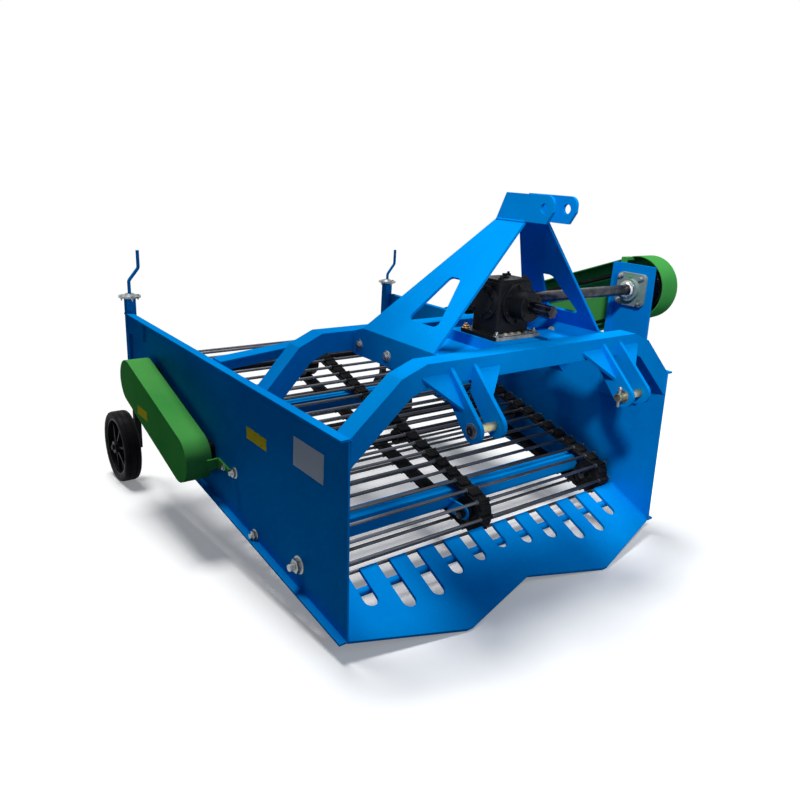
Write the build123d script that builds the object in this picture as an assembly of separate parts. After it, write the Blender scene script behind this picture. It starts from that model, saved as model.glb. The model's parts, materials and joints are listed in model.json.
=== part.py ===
"""Sweet potato digger: a blade, a rod-link conveyor and two gauge wheels on a three-point frame."""
import os
from math import acos, asin, atan2, cos, degrees, hypot, pi, radians, sin, sqrt, tan

from build123d import *

# Millimetres. Building frame: x forward from the front edge of the side plates, y left from the
# centre plane, z up from the top edge of the side plates. STAND at the end sets it on the floor.

# Clearances
SEAT = 0.3
SLIP = 0.4
SLIDE = 1.0
PASS = 4.0

# Side plates
WIDTH = 1300.0
PLATE_T = 6.0
PLATE_LENGTH = 1602.0
PLATE_FRONT_DEPTH = 550.0
PLATE_REAR_DEPTH = 386.0
FRONT_RAKE = 24.0
FLANGE = 22.0
OUT = WIDTH / 2
INN = OUT - PLATE_T

# Arches and the low cross bar behind them, an angle bar that rises to a flat middle
TUBE = 60.0
TUBE_WALL = 5.0
ARCH_Z = 125.0
ARCH_SLOPE = 41.4
ARCH_SHOULDER = 187.0
ARCH_FACET = 70.0
REAR_ARCH_X = -445.0
REAR_ARCH_Z = 110.0
REAR_ARCH_SLOPE = 48.0
REAR_ARCH_SHOULDER = 158.0
CROSS_BAR_X = -735.0
CROSS_BAR_TOP = 6.0
CROSS_BAR_RISE = 46.0
CROSS_BAR_BEND_Y = 150.0
CROSS_BAR_T = 6.0
CROSS_BAR_W = 60.0
CROSS_BAR_LEG = 50.0
BEAM_GAP = 22.0

# Mast: a flange on each rail, a leaning panel with a window, and a head with two ears
MAST_Y = 343.0
MAST_T = 8.0
MAST_FLANGE = 85.0
PANEL_FRONT = 17.0
PANEL_REAR = 42.0
MAST_TOP_Y = 50.0
MAST_TOP_Z = 490.0
HEAD_X = (-190.0, -80.0)
WINDOW_X = (-74.0, 58.0, 20.0, -23.0)
WINDOW_RISE = (-46.0, 75.0)
WINDOW_R = 16.0
EAR_T = 10.0
EAR_R = 39.0
EAR_FRONT = 31.0
EAR_TOP = 34.0
EAR_LEAN = 32.0
EAR_CUT = (20.0, 32.0)
EAR_ROUND = 24.0
TOP_PIN_X = -16.0
TOP_PIN_R = 13.0
HEAD_WEB_BACK = 52.0
FOLD_Z = ARCH_Z + TUBE / 2
TOP_PIN_Z = MAST_TOP_Z + EAR_R

# Rails and deck under the gearbox
RAIL_T = 8.0
RAIL_H = 43.0
RAIL_W = 50.0
DECK_T = 10.0
DECK_FRONT = 108.0
DECK_REAR = 122.0
DECK_PLAY = 9.0
PEDESTAL_H = 32.0
PEDESTAL_W = 190.0
PEDESTAL_T = 8.0
DECK_Z = FOLD_Z - PEDESTAL_H

# Lower hitch
HITCH_Y = 306.0
HITCH_X = 100.0
HITCH_Z = 0.0
LUG_GAP = 80.0
LUG_T = 12.0
LUG_R = 33.0
LUG_RISE = 15.0
LUG_DROP = 63.0
GUSSET_T = 10.0
GUSSET_W = 88.0
GUSSET_L = 98.0
GUSSET_EDGE = 12.0
PIN_R = 12.0
PIN_HEAD_R = 19.0
PIN_HEAD_T = 8.0
PIN_TAIL = (3.0, 28.0)

# Gearbox and cross drive
SHAFT_X = -182.0
SHAFT_Z = 255.0
SHAFT_R = 17.5
BOX_LENGTH = 104.0
BOX_WIDTH = 134.0
BOX_TOP = 60.0
BOX_ROUND = 8.0
LID_T = 8.0
FOOT_T = 12.0
FOOT_OUT = 25.0
FOOT_SIDE = 23.0
COVER_R = 58.0
COVER_T = 12.0
PTO_BOSS_R = 42.0
PTO_BOSS = 53.0
SIDE_BOSS_R = 34.0
SIDE_BOSS = 30.0
CAP_R = 34.0
CAP_T = 5.0
BORE_DEPTH = 4.0
PTO_R = 17.5
PTO_ROOT_R = 14.5
PTO_TOOTH = 8.0
PTO_TEETH = 6
PTO_END = 14.0
BRACKET_T = 10.0
BRACKET_FRONT = 75.0
BRACKET_REAR = 78.0
BRACKET_TOP = 85.0
BRACKET_BOTTOM = -140.0
BRACKET_LIP = 20.0
BRACKET_FLARE = 12.0
SHAFT_BEARING = 112.0
PLATE_BEARING = 96.0
BEARING_T = 14.0
BEARING_H = 30.0
BEARING_ROUND = 0.15
BEARING_BOSS = 0.34

# Belt drive in its guard on the left
SHEET = 3.0
TAB_T = 7.0
TAB_W = 44.0
TAB_LAP = 10.0
LEFT_GUARD_GAP = 6.0
LEFT_GUARD_DEEP = 88.0
LEFT_GUARD_R = (110.0, 150.0)
LEFT_GUARD_BACK = 20.0
STRAP_BACK = 58.0
STRAP_DOWN = 7.0
STRAP_T = 10.0
LEFT_GUARD_NEAR = OUT + FLANGE + LEFT_GUARD_GAP
BELT_IN = 38.0
BELT_Y = LEFT_GUARD_NEAR + BELT_IN
BELT_COUNT = 3
BELT_PITCH = 19.0
BELT_W = 12.0
BELT_H = 9.0
DRIVE_PULLEY_R = 66.0
DRIVEN_PULLEY_R = 112.0
RIDGE_T = 5.0
RIDGE_H = 7.0
SHAFT_TAIL = 35.0

# Chain drive in its guard on the right
RIGHT_GUARD_GAP = 24.0
RIGHT_GUARD_NEAR = -(OUT + RIGHT_GUARD_GAP)
RIGHT_GUARD_DEEP = 86.0
RIGHT_GUARD_R = 80.0
GUARD_TAB_L = 88.0
GUARD_TAB_H = 36.0
GUARD_TAB_DROP = 8.0
CHAIN_OUT = 55.0
CHAIN_Y = -(OUT + CHAIN_OUT)
CHAIN_W = 18.0
CHAIN_T = 12.0
SPROCKET_R = (50.0, 44.0)
SPROCKET_T = 12.0
SPROCKET_TAIL = 22.0

# Conveyor
IDLER_X = -222.0
IDLER_RISE = 103.0
IDLER = (IDLER_X, IDLER_RISE - PLATE_FRONT_DEPTH)
IDLER_R = 52.0
IDLER_AXLE_R = 15.0
IDLER_NUT = 12.0
DRIVE_AHEAD = 282.0
DRIVE_Z = -200.0
DRIVE = (DRIVE_AHEAD - PLATE_LENGTH, DRIVE_Z)
DRIVE_R = 70.0
AGITATOR_AHEAD = 490.0
AGITATOR_DROP = 130.0
AGITATOR = (DRIVE[0] + AGITATOR_AHEAD, DRIVE_Z - AGITATOR_DROP)
AGITATOR_PLAY = 7.0
AGITATOR_LIFT = 1.0
AGITATOR_W = 40.0
CARRIER_SHARE = 0.33
CARRIER_X = AGITATOR[0] + CARRIER_SHARE * (IDLER_X - AGITATOR[0])
CARRIER_R = 28.0
CARRIER_AXLE_R = 12.0
WEB_T = 8.0
WEB_W = 58.0
WEB_EDGE = 15.0
WEB_Y = INN - WEB_EDGE - WEB_W / 2
ROLLER_W = 50.0
ROD_R = 5.5
ROD_SIDES = 8
ROD_PITCH = 58.0
ROD_PLAY = 12.0
HANGER_T = 8.0
HANGER_Y = 36.0
HANGER_R = 24.0

# Blade
BLADE_SLOPE = 24.0
BLADE_T = 10.0
BLADE_BACK = 3.0
BLADE_RISE = 5.0
BLADE_AT = (FRONT_RAKE - BLADE_BACK, BLADE_RISE - PLATE_FRONT_DEPTH)
BLADE_REAR_X = -150.0
NOSE_X = 112.0
NOSE_Y = 297.0
NOSE_FLAT = 22.0
NOTCH_X = 43.0
SLOT_W = 44.0
SLOT_EDGE = 102.0
SLOT_END_X = (-64.0, -49.0, -36.0, 0.0, 1.0, -38.0)
SLOT_PITCH = (2 * INN - 2 * SLOT_EDGE - SLOT_W) / (2 * (len(SLOT_END_X) - 1))
BLADE_ROD_R = 12.0
BLADE_ROD_AT = 55.0
LOW_ROD_R = 9.0
LOW_ROD_X = -490.0

# Gauge wheels
POST = 36.0
POST_WALL = 4.0
POST_TOP = 57.0
POST_BOTTOM = -330.0
POST_INSET = 9.0
POST_X = -(PLATE_LENGTH + POST / 2)
POST_Y = OUT - POST_INSET
TIE_T = 8.0
TIE_L = 170.0
TIE_BOTTOM = -85.0
CAP_DISC_R = 43.0
CAP_DISC_T = 7.0
CAP_HUB_R = 24.0
CAP_HUB_T = 9.0
CRANK_R = 6.5
CRANK_BEND_R = 18.0
CRANK_RISE = (66.0, 116.0, 185.0)
CRANK_OFFSET = 40.0
CRANK_FOOT = 40.0
LEFT_CRANK_DOWN = 24.0
LEG = POST - 2 * POST_WALL - 2 * SLIDE
LEG_WALL = 4.0
LEG_TOP = -100.0
LEG_FOOT = 18.0
LEG_FLOOR = 80.0
WHEEL_Z = -571.0
WHEEL_R = 150.0
WHEEL_W = 66.0
WHEEL_GAP = 15.0
WHEEL_ROOM = 25.0
WHEEL_Y = POST_Y + POST / 2 + WHEEL_GAP + WHEEL_W / 2
TYRE_H = 30.0
TYRE_SHOULDER = 7.0
TYRE_BEAD = 3.0
RIM_R = WHEEL_R - TYRE_H
RIM_W = 56.0
RIM_T = 6.0
DISC_T = 8.0
AXLE_R = 12.0
AXLE_TAIL = 4.0
HUB_T = 13.0
HUB_PROUD = 3.0


def box(x0, x1, y0, y1, z0, z1):
    """Block between six limits."""
    middle = Pos((x0 + x1) / 2, (y0 + y1) / 2, (z0 + z1) / 2)
    return middle * Box(x1 - x0, y1 - y0, z1 - z0)


def slab_y(outline, y0, y1):
    """An outline drawn in x and z, as thick as from y0 to y1."""
    plane = Plane(origin=(0, y1, 0), x_dir=(1, 0, 0), z_dir=(0, -1, 0))
    return extrude(plane * outline, amount=y1 - y0)


def slab_x(outline, x0, x1):
    """An outline drawn in y and z, as thick as from x0 to x1."""
    plane = Plane(origin=(x0, 0, 0), x_dir=(0, 1, 0), z_dir=(1, 0, 0))
    return extrude(plane * outline, amount=x1 - x0)


def shaft_y(x, z, radius, y0, y1):
    """Round bar along y."""
    return slab_y(Pos(x, z) * Circle(radius), y0, y1)


def shaft_x(y, z, radius, x0, x1):
    """Round bar along x."""
    return slab_x(Pos(y, z) * Circle(radius), x0, x1)


def area(*points):
    """Filled outline through the points."""
    return make_face(Polyline(*points, close=True))


def other_side(shape):
    """The same piece on the left."""
    return mirror(shape, about=Plane.XZ)


def band(points, half):
    """Strip of even width along a bent line, with mitred corners."""
    last = len(points) - 1
    headings = []
    for a, b in zip(points, points[1:]):
        headings.append(atan2(b[1] - a[1], b[0] - a[0]))
    one_side = []
    far_side = []
    for i, (u, v) in enumerate(points):
        before = headings[max(i - 1, 0)]
        after = headings[min(i, last - 1)]
        reach = half / cos((after - before) / 2)
        mean = (after + before) / 2
        one_side.append((u - reach * sin(mean), v + reach * cos(mean)))
        far_side.append((u + reach * sin(mean), v - reach * cos(mean)))
    return area(*one_side, *reversed(far_side))


def loop_angles(c1, r1, c2, r2):
    """Direction from c1 to c2 and the angle off it of the points where a tight band leaves."""
    along = atan2(c2[1] - c1[1], c2[0] - c1[0])
    return along, acos((r1 - r2) / hypot(c2[0] - c1[0], c2[1] - c1[1]))


def on_circle(c, r, angle):
    """Point of a circle."""
    return (c[0] + r * cos(angle), c[1] + r * sin(angle))


def between(a, b, t):
    """Point on the line from a to b."""
    return (a[0] + t * (b[0] - a[0]), a[1] + t * (b[1] - a[1]))


def loop(c1, r1, c2, r2):
    """Outline of a band pulled tight round two circles."""
    along, off = loop_angles(c1, r1, c2, r2)
    a1 = on_circle(c1, r1, along + off)
    a2 = on_circle(c2, r2, along + off)
    b1 = on_circle(c1, r1, along - off)
    b2 = on_circle(c2, r2, along - off)
    edges = [
        Line(a1, a2),
        ThreePointArc(a2, on_circle(c2, r2, along), b2),
        Line(b2, b1),
        ThreePointArc(b1, on_circle(c1, r1, along + pi), a1),
    ]
    return make_face(Wire(edges))


def loop_points(c1, r1, c2, r2, pitch):
    """Evenly spaced points along the same band, as close to the pitch as a whole count allows."""
    along, off = loop_angles(c1, r1, c2, r2)
    run = sqrt(hypot(c2[0] - c1[0], c2[1] - c1[1]) ** 2 - (r1 - r2) ** 2)
    arc2 = r2 * 2 * off
    arc1 = r1 * 2 * (pi - off)
    total = 2 * run + arc1 + arc2
    count = round(total / pitch)
    upper = (on_circle(c1, r1, along + off), on_circle(c2, r2, along + off))
    lower = (on_circle(c2, r2, along - off), on_circle(c1, r1, along - off))
    points = []
    for i in range(count):
        s = total * i / count
        if s < run:
            points.append(between(*upper, s / run))
        elif s < run + arc2:
            points.append(on_circle(c2, r2, along + off - (s - run) / r2))
        elif s < 2 * run + arc2:
            points.append(between(*lower, (s - run - arc2) / run))
        else:
            points.append(on_circle(c1, r1, along - off - (s - 2 * run - arc2) / r1))
    return points


def tangent(p, c, r, side):
    """Point where a line from p touches the circle, on one side or the other."""
    back = atan2(p[1] - c[1], p[0] - c[0])
    return on_circle(c, r, back + side * acos(r / hypot(p[0] - c[0], p[1] - c[1])))


def plate_bottom(x):
    """Height of the lower edge of a side plate."""
    rise = (PLATE_FRONT_DEPTH - PLATE_REAR_DEPTH) / (PLATE_LENGTH + FRONT_RAKE)
    return -PLATE_FRONT_DEPTH + rise * (FRONT_RAKE - x)


def upper_normal():
    """Unit direction square to the conveyor's upper run, pointing up."""
    along, off = loop_angles(IDLER, IDLER_R, DRIVE, DRIVE_R)
    return (cos(along - off), sin(along - off))


def lower_normal():
    """Unit direction square to the conveyor's lower run, pointing down."""
    along, off = loop_angles(IDLER, IDLER_R, DRIVE, DRIVE_R)
    return (cos(along + off), sin(along + off))


def run_distance(point, normal):
    """Distance from a point inside the conveyor to the inner face of the run with that normal."""
    return IDLER_R - (point[0] - IDLER[0]) * normal[0] - (point[1] - IDLER[1]) * normal[1]


def upper_run(x, inside):
    """Point at x, so far inside the inner face of the upper run."""
    n = upper_normal()
    return (x, IDLER[1] + (IDLER_R - inside - (x - IDLER[0]) * n[0]) / n[1])


def side_plate():
    """Right side plate with outward edges, the lower one ending ahead of the wheel, and shaft holes."""
    rear = -PLATE_LENGTH
    front_low = (FRONT_RAKE, plate_bottom(FRONT_RAKE))
    short = POST_X + WHEEL_R + WHEEL_ROOM
    edge_line = ((short, plate_bottom(short) + PLATE_T / 2), (FRONT_RAKE, front_low[1] + PLATE_T / 2))
    plate = slab_y(area((0, 0), front_low, (rear, plate_bottom(rear)), (rear, 0)), -OUT, -INN)
    plate += box(rear, 0, -OUT - FLANGE, -OUT, -PLATE_T, 0)
    plate += slab_y(band(edge_line, PLATE_T / 2), -OUT - FLANGE, -OUT)
    for x, z in (DRIVE, AGITATOR):
        plate -= shaft_y(x, z, SHAFT_R + PASS, -OUT - PASS, -INN + PASS)
    return plate


def arch(front_x, centre_z, slope_deg, shoulder):
    """Square tube from plate to plate, mitred at two small facets on each side."""
    slope = radians(slope_deg)
    bend_y = INN - shoulder
    step = ARCH_FACET / 2 / cos(slope / 2)
    reach = INN + TUBE
    right_half = [
        (-reach, centre_z - (reach - bend_y) * tan(slope)),
        (-bend_y - step * cos(slope), centre_z - step * sin(slope)),
        (-bend_y + step, centre_z),
    ]
    line = right_half + [(-y, z) for y, z in reversed(right_half)]
    rear_x = front_x - TUBE
    tube = slab_x(band(line, TUBE / 2), rear_x, front_x)
    tube -= slab_x(band(line, TUBE / 2 - TUBE_WALL), rear_x + TUBE_WALL, front_x - TUBE_WALL)
    return tube & box(rear_x, front_x, -INN, INN, centre_z - INN, centre_z + INN)


def cross_tube(front_x, top_z):
    """Straight square tube between the side plates."""
    inner = TUBE - 2 * TUBE_WALL
    middle = Pos(front_x - TUBE / 2, 0, top_z - TUBE / 2)
    return middle * (Box(TUBE, 2 * INN, TUBE) - Box(inner, 2 * INN, inner))


def cross_bar():
    """Bent angle bar between the side plates, its flat leg on top and its upright leg at the rear."""
    high = CROSS_BAR_TOP + CROSS_BAR_RISE
    top = [(-INN, CROSS_BAR_TOP), (-CROSS_BAR_BEND_Y, high), (CROSS_BAR_BEND_Y, high), (INN, CROSS_BAR_TOP)]
    rear_x = CROSS_BAR_X - CROSS_BAR_W
    flat = area(*top, *[(y, z - CROSS_BAR_T) for y, z in reversed(top)])
    upright = area(*top, *[(y, z - CROSS_BAR_LEG) for y, z in reversed(top)])
    return slab_x(flat, rear_x, CROSS_BAR_X) + slab_x(upright, rear_x, rear_x + CROSS_BAR_T)


def mast_rail():
    """Right angle bar from arch to arch behind the mast plate's lower flange."""
    y = -MAST_Y + MAST_T
    top = DECK_Z - DECK_T
    rail = box(REAR_ARCH_X, -TUBE, y, y + RAIL_T, top - RAIL_H, top)
    return rail + box(REAR_ARCH_X, -TUBE, y, y + RAIL_W, top - RAIL_T, top)


def mast_plate():
    """Right mast plate: upright flange, fold, and a leaning panel with a window."""
    low = FOLD_Z - MAST_FLANGE
    cut = (REAR_ARCH_X, REAR_ARCH_Z + TUBE / 2)
    flange = area((REAR_ARCH_X, low), (-TUBE, low), (-TUBE, FOLD_Z), (REAR_ARCH_X + PANEL_REAR, FOLD_Z), cut)
    flange = slab_y(flange, -MAST_Y, -MAST_Y + MAST_T)
    inward = MAST_Y - MAST_TOP_Y
    upward = MAST_TOP_Z - FOLD_Z
    length = hypot(inward, upward)
    lean = Plane(
        origin=(0, -MAST_Y, FOLD_Z),
        x_dir=(1, 0, 0),
        z_dir=(0, -upward / length, inward / length),
    )
    rear = REAR_ARCH_X + PANEL_REAR
    front = -TUBE - PANEL_FRONT
    past = length + MAST_T
    head = [(HEAD_X[1], length), (HEAD_X[1], past), (HEAD_X[0], past), (HEAD_X[0], length)]
    outline = area((rear, 0), (front, 0), *head)
    low, high = [(SHAFT_Z + rise - FOLD_Z) * length / upward for rise in WINDOW_RISE]
    rows = (low, low, high, high)
    window = area(*[(SHAFT_X + x, s) for x, s in zip(WINDOW_X, rows)])
    window = fillet(window.vertices(), WINDOW_R)
    panel = extrude(lean * (outline - window), amount=-MAST_T)
    above = box(HEAD_X[0] - MAST_T, HEAD_X[1] + MAST_T, -MAST_Y, 0, MAST_TOP_Z, MAST_TOP_Z + 2 * MAST_T)
    return flange + (panel - above)


def mast_head():
    """Two ears of the top link on the panels' upper edges, tied by a floor plate and a web."""
    top = TOP_PIN_Z + EAR_TOP
    front = TOP_PIN_X + EAR_FRONT
    ear = area(
        (HEAD_X[0], MAST_TOP_Z),
        (front - EAR_CUT[0], MAST_TOP_Z),
        (front, MAST_TOP_Z + EAR_CUT[1]),
        (front, top),
        (HEAD_X[0] + EAR_LEAN, top),
    )
    ear = fillet(ear.vertices().group_by(Axis.X)[-1].sort_by(Axis.Y)[-1], EAR_ROUND)
    ear = ear - Pos(TOP_PIN_X, TOP_PIN_Z) * Circle(TOP_PIN_R)
    inner = MAST_TOP_Y - EAR_T
    web_x = TOP_PIN_X - HEAD_WEB_BACK
    head = slab_y(ear, -MAST_TOP_Y, -inner) + slab_y(ear, inner, MAST_TOP_Y)
    head += box(HEAD_X[0], web_x, -inner, inner, MAST_TOP_Z, MAST_TOP_Z + EAR_T)
    return head + box(web_x - EAR_T, web_x, -inner, inner, MAST_TOP_Z, top)


def hitch_lugs():
    """Right pair of lower-link lugs with a triangular gusset on each outer side."""
    pin = (HITCH_X, HITCH_Z)
    top = (0, ARCH_Z + LUG_RISE)
    low = (0, ARCH_Z - LUG_DROP)
    outline = area(top, tangent(top, pin, LUG_R, -1), pin, tangent(low, pin, LUG_R, 1), low)
    outline = outline + Pos(*pin) * Circle(LUG_R)
    outline = outline - Pos(*pin) * Circle(PIN_R + SEAT)
    rise = (top[1] + low[1]) / 2 + LUG_RISE - HITCH_Z
    length = hypot(HITCH_X, rise)
    pieces = []
    for side in (-1, 1):
        y = -HITCH_Y + side * LUG_GAP / 2
        lug = slab_y(outline, y - LUG_T / 2, y + LUG_T / 2)
        plane = Plane(
            origin=(0, y + side * LUG_T / 2, HITCH_Z + rise),
            x_dir=(0, side, 0),
            z_dir=(-rise / length * side, 0, -HITCH_X / length * side),
        )
        rib = area((0, -GUSSET_EDGE), (GUSSET_W, -GUSSET_EDGE), (GUSSET_W, 0), (0, GUSSET_L))
        gusset = extrude(plane * rib, amount=GUSSET_T / 2, both=True)
        gusset -= box(-TUBE, 0, y - GUSSET_W - TUBE, y + GUSSET_W + TUBE, HITCH_Z, ARCH_Z + TUBE)
        pieces.append(lug + gusset)
    return pieces


def hitch_pin(y, tail):
    """Lower-link pin with its head to the left and its tail to the right of the lugs."""
    reach = LUG_GAP / 2 + LUG_T / 2
    head = shaft_y(HITCH_X, HITCH_Z, PIN_HEAD_R, y + reach, y + reach + PIN_HEAD_T)
    return shaft_y(HITCH_X, HITCH_Z, PIN_R, y - reach - tail, y + reach) + head


def gearbox_base():
    """Deck on the mast rails with a channel on it, open side down, that carries the gearbox."""
    half = MAST_Y - MAST_T - DECK_PLAY
    rear = SHAFT_X - DECK_REAR
    front = SHAFT_X + DECK_FRONT
    wide = PEDESTAL_W / 2
    hollow = wide - PEDESTAL_T
    base = box(rear, front, -half, half, DECK_Z - DECK_T, DECK_Z)
    base += box(rear, front, -wide, wide, DECK_Z, FOLD_Z)
    return base - box(rear, front, -hollow, hollow, DECK_Z, FOLD_Z - PEDESTAL_T)


def gearbox():
    """Cast bevel gearbox: a foot plate, a block with a lid, round covers and two bosses."""
    half = BOX_WIDTH / 2
    top = SHAFT_Z + BOX_TOP
    rear = SHAFT_X - BOX_LENGTH / 2
    front = SHAFT_X + BOX_LENGTH / 2
    side = half + FOOT_SIDE
    foot = box(rear - FOOT_OUT, front + FOOT_OUT, -side, side, FOLD_Z, FOLD_Z + FOOT_T)
    block = box(rear, front, -half, half, FOLD_Z + FOOT_T, top)
    block = fillet(block.edges().filter_by(Axis.Z), BOX_ROUND)
    block += fillet(foot.edges().filter_by(Axis.Z), BOX_ROUND)
    block += box(rear + BOX_ROUND, front - BOX_ROUND, BOX_ROUND - half, half - BOX_ROUND, top, top + LID_T)
    nose = front + COVER_T
    block += shaft_x(0, SHAFT_Z, COVER_R, front, nose)
    block += shaft_x(0, SHAFT_Z, PTO_BOSS_R, nose, nose + PTO_BOSS)
    block += shaft_y(SHAFT_X, SHAFT_Z, COVER_R - BOX_ROUND, half, half + COVER_T)
    block += shaft_y(SHAFT_X, SHAFT_Z, SIDE_BOSS_R, half + COVER_T, half + COVER_T + SIDE_BOSS)
    block += shaft_y(SHAFT_X, SHAFT_Z, COVER_R - BOX_ROUND, -half - COVER_T, -half)
    block += shaft_y(SHAFT_X, SHAFT_Z, CAP_R, -half - COVER_T - CAP_T, -half - COVER_T)
    block -= shaft_x(0, SHAFT_Z, PTO_R + SLIP, nose - BORE_DEPTH, nose + PTO_BOSS + SLIP)
    far_end = half + COVER_T + SIDE_BOSS + SLIP
    return block - shaft_y(SHAFT_X, SHAFT_Z, SHAFT_R + SLIP, half + COVER_T - BORE_DEPTH, far_end)


def pto_shaft():
    """Input stub: round inside the boss, six splines outside it."""
    nose = SHAFT_X + BOX_LENGTH / 2 + COVER_T
    boss_end = nose + PTO_BOSS
    section = Circle(PTO_ROOT_R)
    for k in range(PTO_TEETH):
        tooth = Pos(PTO_ROOT_R, 0) * Rectangle(PTO_ROOT_R, PTO_TOOTH)
        section = section + Rot(0, 0, k * 360 / PTO_TEETH) * tooth
    section = section & Circle(PTO_R)
    return shaft_x(0, SHAFT_Z, PTO_R, nose, boss_end) + slab_x(Pos(0, SHAFT_Z) * section, boss_end, PTO_END)


def pulley(centre, radius):
    """Pulley with a ridge on each side of every belt."""
    half = BELT_COUNT * BELT_PITCH / 2
    wheel = shaft_y(centre[0], centre[1], radius, BELT_Y - half, BELT_Y + half)
    for k in range(BELT_COUNT + 1):
        y = BELT_Y - half + k * BELT_PITCH
        wheel += shaft_y(centre[0], centre[1], radius + RIDGE_H, y - RIDGE_T / 2, y + RIDGE_T / 2)
    return wheel


def cross_shaft():
    """Output shaft to the left side with the small belt pulley."""
    shaft = shaft_y(SHAFT_X, SHAFT_Z, SHAFT_R, BOX_WIDTH / 2 + COVER_T, BELT_Y + SHAFT_TAIL)
    return shaft + pulley((SHAFT_X, SHAFT_Z), DRIVE_PULLEY_R)


def drive_belts():
    """Belts side by side round both pulleys."""
    c1 = (SHAFT_X, SHAFT_Z)
    lift = SLIP + BELT_H
    inner = loop(c1, DRIVE_PULLEY_R + SLIP, DRIVE, DRIVEN_PULLEY_R + SLIP)
    ring = loop(c1, DRIVE_PULLEY_R + lift, DRIVE, DRIVEN_PULLEY_R + lift) - inner
    first = BELT_Y - (BELT_COUNT - 1) * BELT_PITCH / 2
    rows = [first + k * BELT_PITCH for k in range(BELT_COUNT)]
    return [slab_y(ring, y - BELT_W / 2, y + BELT_W / 2) for y in rows]


def bearing_bracket():
    """Upright bent plate on the left side plate that holds the cross shaft's bearing."""
    rear = SHAFT_X - BRACKET_REAR
    face = INN - BRACKET_T
    top = SHAFT_Z + BRACKET_TOP
    front = SHAFT_X + BRACKET_FRONT
    low = BRACKET_BOTTOM
    flare = front + BRACKET_FLARE
    plate = slab_y(area((rear, low), (flare, low), (flare, 0), (front, top), (rear, top)), face, INN)
    plate += box(rear, rear + BRACKET_T, face - BRACKET_LIP, face, 0, top)
    return plate - shaft_y(SHAFT_X, SHAFT_Z, SHAFT_R + PASS, face - PASS, INN + PASS)


def flange_bearing(x, z, size, y_seat, out, bore):
    """Square flange with a round boss on it, on a wall at y_seat, standing out by sign out."""
    flange = fillet(Rectangle(size, size).vertices(), size * BEARING_ROUND)
    y1 = y_seat + out * BEARING_T
    y2 = y_seat + out * BEARING_H
    body = slab_y(Pos(x, z) * flange, min(y_seat, y1), max(y_seat, y1))
    body += shaft_y(x, z, size * BEARING_BOSS, min(y1, y2), max(y1, y2))
    return body - shaft_y(x, z, bore, min(y_seat, y2) - PASS, max(y_seat, y2) + PASS)


def plate_bearings():
    """Flange bearings of the driven shafts on the outer faces of the side plates."""
    table = (
        # centre, wall, outward sign
        (DRIVE, -OUT, -1),
        (AGITATOR, -OUT, -1),
        (DRIVE, OUT, 1),
        (AGITATOR, OUT, 1),
    )
    return [flange_bearing(*c, PLATE_BEARING, wall, out, SHAFT_R + SEAT) for c, wall, out in table]


def shell(outer, inner, y_open, y_shut):
    """Sheet guard: a rim open at one side and shut at the other."""
    out = 1 if y_shut > y_open else -1
    back = y_open - out * SHEET
    floor_y = y_shut - out * SHEET
    whole = slab_y(outer, min(y_open, y_shut), max(y_open, y_shut))
    return whole - slab_y(inner, min(back, floor_y), max(back, floor_y))


def left_guard():
    """Belt guard on the left, open toward the side plate, held by a tab and a strap on the bracket."""
    c1 = (SHAFT_X - LEFT_GUARD_BACK, SHAFT_Z)
    r1, r2 = LEFT_GUARD_R
    near = LEFT_GUARD_NEAR
    tab_end = near + TAB_LAP
    half = TAB_W / 2
    outline = loop(c1, r1, DRIVE, r2)
    guard = shell(outline, loop(c1, r1 - SHEET, DRIVE, r2 - SHEET), near, near + LEFT_GUARD_DEEP)
    guard += box(DRIVE[0] - half, DRIVE[0] + half, OUT, tab_end, DRIVE[1] - r2, DRIVE[1] - r2 + TAB_T)
    top = SHAFT_Z + r1 - STRAP_DOWN
    rear = SHAFT_X - STRAP_BACK - half / 2
    front = rear + half
    guard += box(rear, front, INN, tab_end, top - STRAP_T, top)
    return guard + box(rear, front, INN, INN + TAB_T, SHAFT_Z + DRIVE_PULLEY_R - SHAFT_R, top)


def right_guard():
    """Chain guard on the right with a bent tab at each end, the front one pointed."""
    r = RIGHT_GUARD_R
    near = RIGHT_GUARD_NEAR
    inner = loop(DRIVE, r - SHEET, AGITATOR, r - SHEET)
    guard = shell(loop(DRIVE, r, AGITATOR, r), inner, near, near - RIGHT_GUARD_DEEP)
    front = AGITATOR[0] + r
    z = AGITATOR[1] - GUARD_TAB_DROP
    root = front - SHEET
    half = GUARD_TAB_H / 2
    guard += box(root, front + TAB_T, near - half, -OUT, z - half, z + half)
    tip = front + GUARD_TAB_L
    tab = area((root, z - half), (tip, z), (tip, z + half / 2), (front + half, z + half), (root, z + half))
    guard += slab_y(tab, -OUT - TAB_T, -OUT)
    rear = DRIVE[0] - r
    return guard + box(rear - TAB_T, rear + SHEET, near - half, -OUT, DRIVE[1] - half, DRIVE[1] + half)


def chain():
    """Chain from the conveyor's rear shaft to the agitator, as one plain band."""
    rear_r, front_r = SPROCKET_R
    inner = loop(DRIVE, rear_r + SEAT, AGITATOR, front_r + SEAT)
    outer = loop(DRIVE, rear_r + CHAIN_T, AGITATOR, front_r + CHAIN_T)
    return slab_y(outer - inner, CHAIN_Y - CHAIN_W / 2, CHAIN_Y + CHAIN_W / 2)


def web_belts():
    """Three rubber belts of the conveyor."""
    ring = loop(IDLER, IDLER_R + WEB_T, DRIVE, DRIVE_R + WEB_T) - loop(IDLER, IDLER_R, DRIVE, DRIVE_R)
    return [slab_y(ring, y - WEB_W / 2, y + WEB_W / 2) for y in (-WEB_Y, 0, WEB_Y)]


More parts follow.
